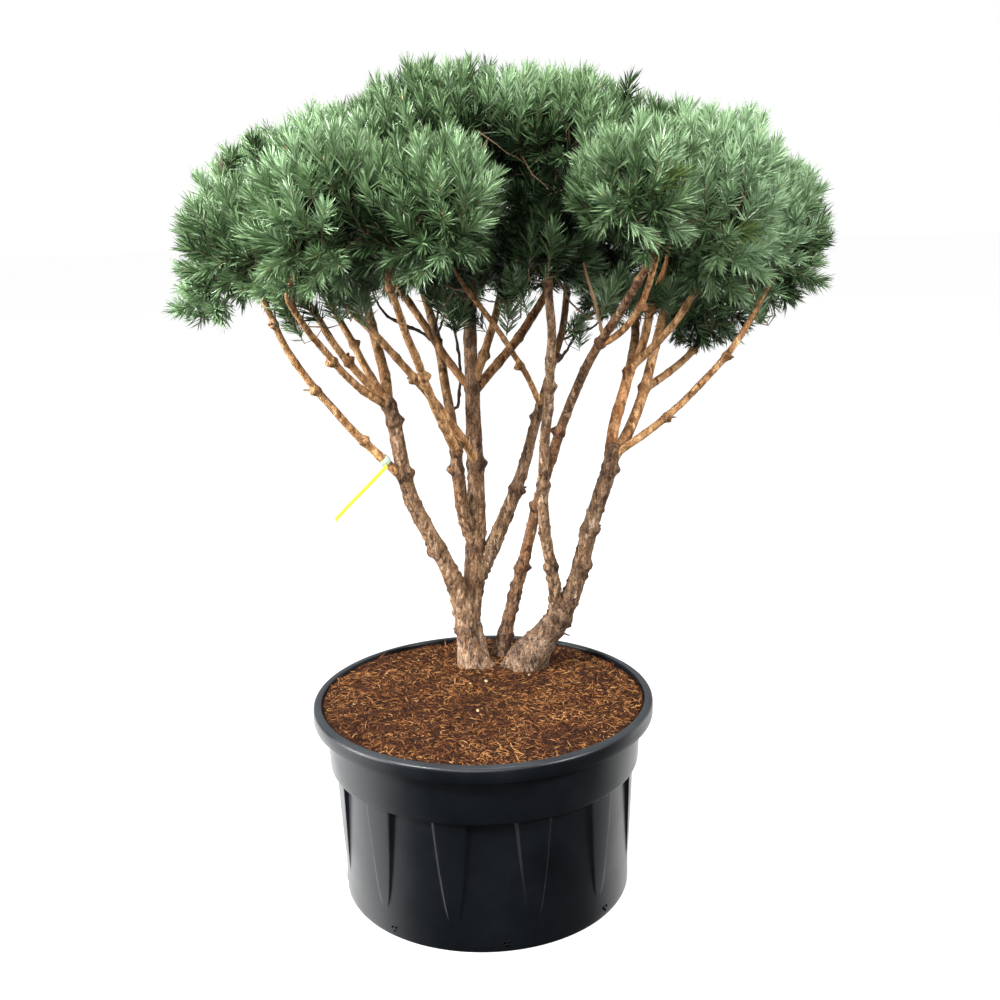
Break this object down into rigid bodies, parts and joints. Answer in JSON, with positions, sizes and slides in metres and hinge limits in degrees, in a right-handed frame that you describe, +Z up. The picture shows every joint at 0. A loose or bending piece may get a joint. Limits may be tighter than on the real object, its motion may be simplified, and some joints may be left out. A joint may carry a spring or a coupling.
{
  "type": "potted watereri scots pine",
  "caption": "Multi-stemmed scots pine with a broad umbrella crown of needle pads, growing in a round ribbed nursery container.",
  "frame": {"origin": "centre of the pot's flat underside, on the surface that it stands on", "axes": "+Z up, -Y towards the side with the leaning front stem, +X to its right"},
  "size_m": [1.469, 1.3, 1.877],
  "materials": {
    "pot": "charcoal black moulded plastic with a satin sheen",
    "mulch": "reddish brown coir and bark mulch over the growing medium",
    "bark_stem": "grey brown scaly bark with pinkish flakes",
    "bark_bough": "thin orange tan bark with darker needle scars",
    "needles": "blue green needles in bottle-brush shoots",
    "label_band": "pale green soft band",
    "label_strip": "blank yellow strip"
  },
  "bodies": {
    "root": {"pot": "pot", "soil": "mulch", "trunk_left": "bark_stem", "trunk_centre": "bark_stem", "trunk_right": "bark_stem", "stem_leaning": "bark_stem", "stem_centre_left": "bark_stem", "stem_middle": "bark_stem", "stem_front": "bark_stem", "bough_left_outer": "bark_bough", "bough_left_low": "bark_bough", "bough_left_mid": "bark_bough", "bough_left_upper": "bark_bough", "bough_left_back": "bark_bough", "bough_front_left": "bark_bough", "bough_back_left": "bark_bough", "bough_long_left": "bark_bough", "bough_centre_left": "bark_bough", "bough_centre_up": "bark_bough", "bough_centre_right": "bark_bough", "bough_crossing": "bark_bough", "bough_middle_back": "bark_bough", "bough_leaning_side": "bark_bough", "bough_right_inner": "bark_bough", "bough_right_back": "bark_bough", "bough_right_up": "bark_bough", "bough_right_low": "bark_bough", "bough_right_mid": "bark_bough", "bough_right_rear": "bark_bough", "bough_right_outer": "bark_bough", "pad_centre_left": "needles", "pad_left_front": "needles", "pad_right_front": "needles", "pad_right_mid": "needles", "pad_left_outer": "needles", "pad_right_outer": "needles", "pad_top": "needles", "pad_top_right": "needles", "pad_top_left": "needles", "pad_top_right_outer": "needles", "pad_centre_low": "needles", "pad_centre_back_low": "needles", "pad_right_low": "needles", "pad_back_left_outer": "needles", "pad_back_left": "needles", "pad_back_centre": "needles", "pad_back_right": "needles", "pad_back_right_outer": "needles", "label_band": "label_band", "label_strip": "label_strip"}
  },
  "joints": []
}
